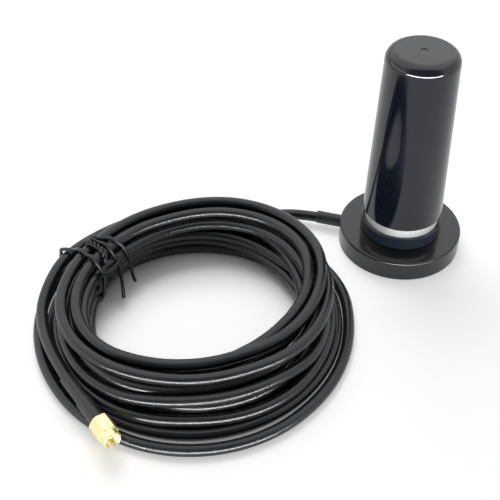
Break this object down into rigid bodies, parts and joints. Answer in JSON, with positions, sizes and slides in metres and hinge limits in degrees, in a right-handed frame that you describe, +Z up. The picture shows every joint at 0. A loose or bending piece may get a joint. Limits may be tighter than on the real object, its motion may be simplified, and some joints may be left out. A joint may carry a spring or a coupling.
{
  "type": "cellular antenna on a magnetic base",
  "caption": "Upright cellular antenna on a magnetic base, with a coaxial cable wound in a tied bundle and a threaded coaxial plug on its end.",
  "frame": {"origin": "centre of the underside of the round base, on the surface it stands on", "axes": "+Z up along the antenna's axis; the cable leaves the base towards -X, 17 degrees round to +Y, and the wound bundle and its plug lie at -X and -Y"},
  "size_m": [0.1949, 0.1566, 0.1038],
  "materials": {
    "base_plastic": "satin",
    "pad_rubber": "matte",
    "magnet_ferrite": "matte",
    "plate_steel": "satin",
    "brass": "satin",
    "white_insulator": "satin",
    "collar_plastic": "satin",
    "seal_rubber": "satin",
    "nickel": "polished",
    "radome_plastic": "gloss",
    "board_laminate": "satin",
    "copper": "satin",
    "foam": "matte",
    "spring_steel": "satin",
    "cable_jacket": "satin",
    "sleeve_rubber": "satin",
    "tie_coating": "satin",
    "gold_plate": "polished",
    "heat_shrink": "satin"
  },
  "bodies": {
    "antenna": {"base_shell": "base_plastic", "base_pad": "pad_rubber", "ring_magnet": "magnet_ferrite", "pole_plate": "plate_steel", "mount_stud": "brass", "mount_thread": "brass", "mount_insulator": "white_insulator", "mount_contact": "brass", "seal_ring": "seal_rubber", "collar": "collar_plastic", "coupling_ring": "nickel", "contact_disc": "white_insulator", "contact_barrel": "brass", "contact_plunger": "brass", "contact_spring": "spring_steel", "radome": "radome_plastic", "circuit_board": "board_laminate", "board_copper": "copper", "foam_spacer": "foam", "cable_inner": "cable_jacket", "cable_sleeve": "sleeve_rubber", "cable_lead": "cable_jacket", "cable_coil": "cable_jacket", "cable_end": "cable_jacket", "wire_tie": "tie_coating", "plug_body": "gold_plate", "snap_ring": "spring_steel", "plug_gasket": "seal_rubber", "plug_insulator": "white_insulator", "plug_pin": "gold_plate", "crimp_ferrule": "gold_plate", "plug_sleeve": "heat_shrink"},
    "plug_nut": {"coupling_nut": "gold_plate"}
  },
  "joints": [
    {"name": "nut_spin", "type": "hinge", "parent": "antenna", "child": "plug_nut", "pos_m": [-0.1296, -0.1169, 0.0099], "axis": [0.5807, -0.8141, 0], "continuous": true}
  ]
}
